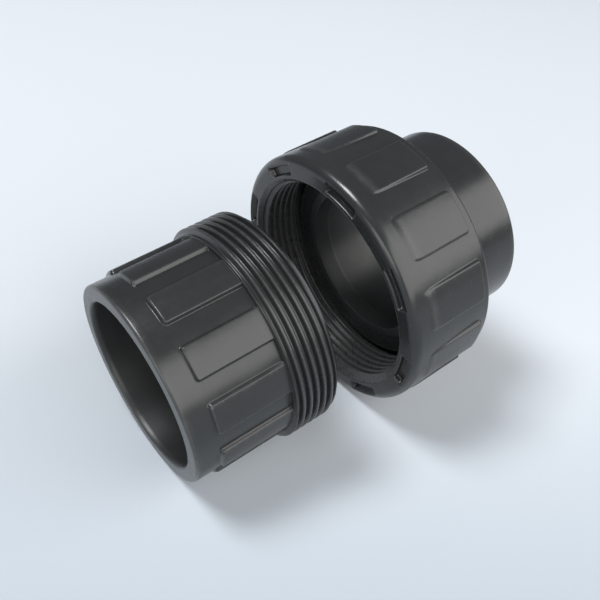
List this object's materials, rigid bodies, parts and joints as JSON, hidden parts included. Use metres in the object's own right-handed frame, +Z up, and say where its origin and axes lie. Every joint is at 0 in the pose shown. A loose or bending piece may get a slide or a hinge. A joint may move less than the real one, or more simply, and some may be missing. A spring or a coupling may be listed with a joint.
{
  "type": "pipe union",
  "caption": "Three-piece plastic pipe union, apart on its axis: socket end with male thread and face seal, flanged socket tailpiece, and ribbed ring nut that screws them together.",
  "frame": {"origin": "centre of the threaded end's socket mouth, where its pipe goes in", "axes": "+X along the pipe axis from the threaded end to the tailpiece, +Z up"},
  "size_m": [0.1156, 0.0814, 0.0814],
  "materials": {
    "end_pvc": "satin moulded",
    "nut_pvc": "satin moulded",
    "tail_pvc": "satin moulded",
    "seal_rubber": "smooth"
  },
  "bodies": {
    "threaded_end": {"threaded_end": "end_pvc", "o_ring": "seal_rubber"},
    "tailpiece": {"tailpiece": "tail_pvc"},
    "union_nut": {"union_nut": "nut_pvc"}
  },
  "joints": [
    {"name": "draw_in", "type": "slide", "parent": "threaded_end", "child": "tailpiece", "axis": [-1, 0, 0], "range_m": [0, 0.0338]},
    {"name": "nut_turn", "type": "hinge", "parent": "tailpiece", "child": "union_nut", "pos_m": [0.0787, 0, 0], "axis": [-1, 0, 0], "range_deg": [0, 5270]}
  ],
  "couplings": [
    {"joint": "draw_in", "follows": "nut_turn", "m_per_rad": 0.00036749}
  ]
}
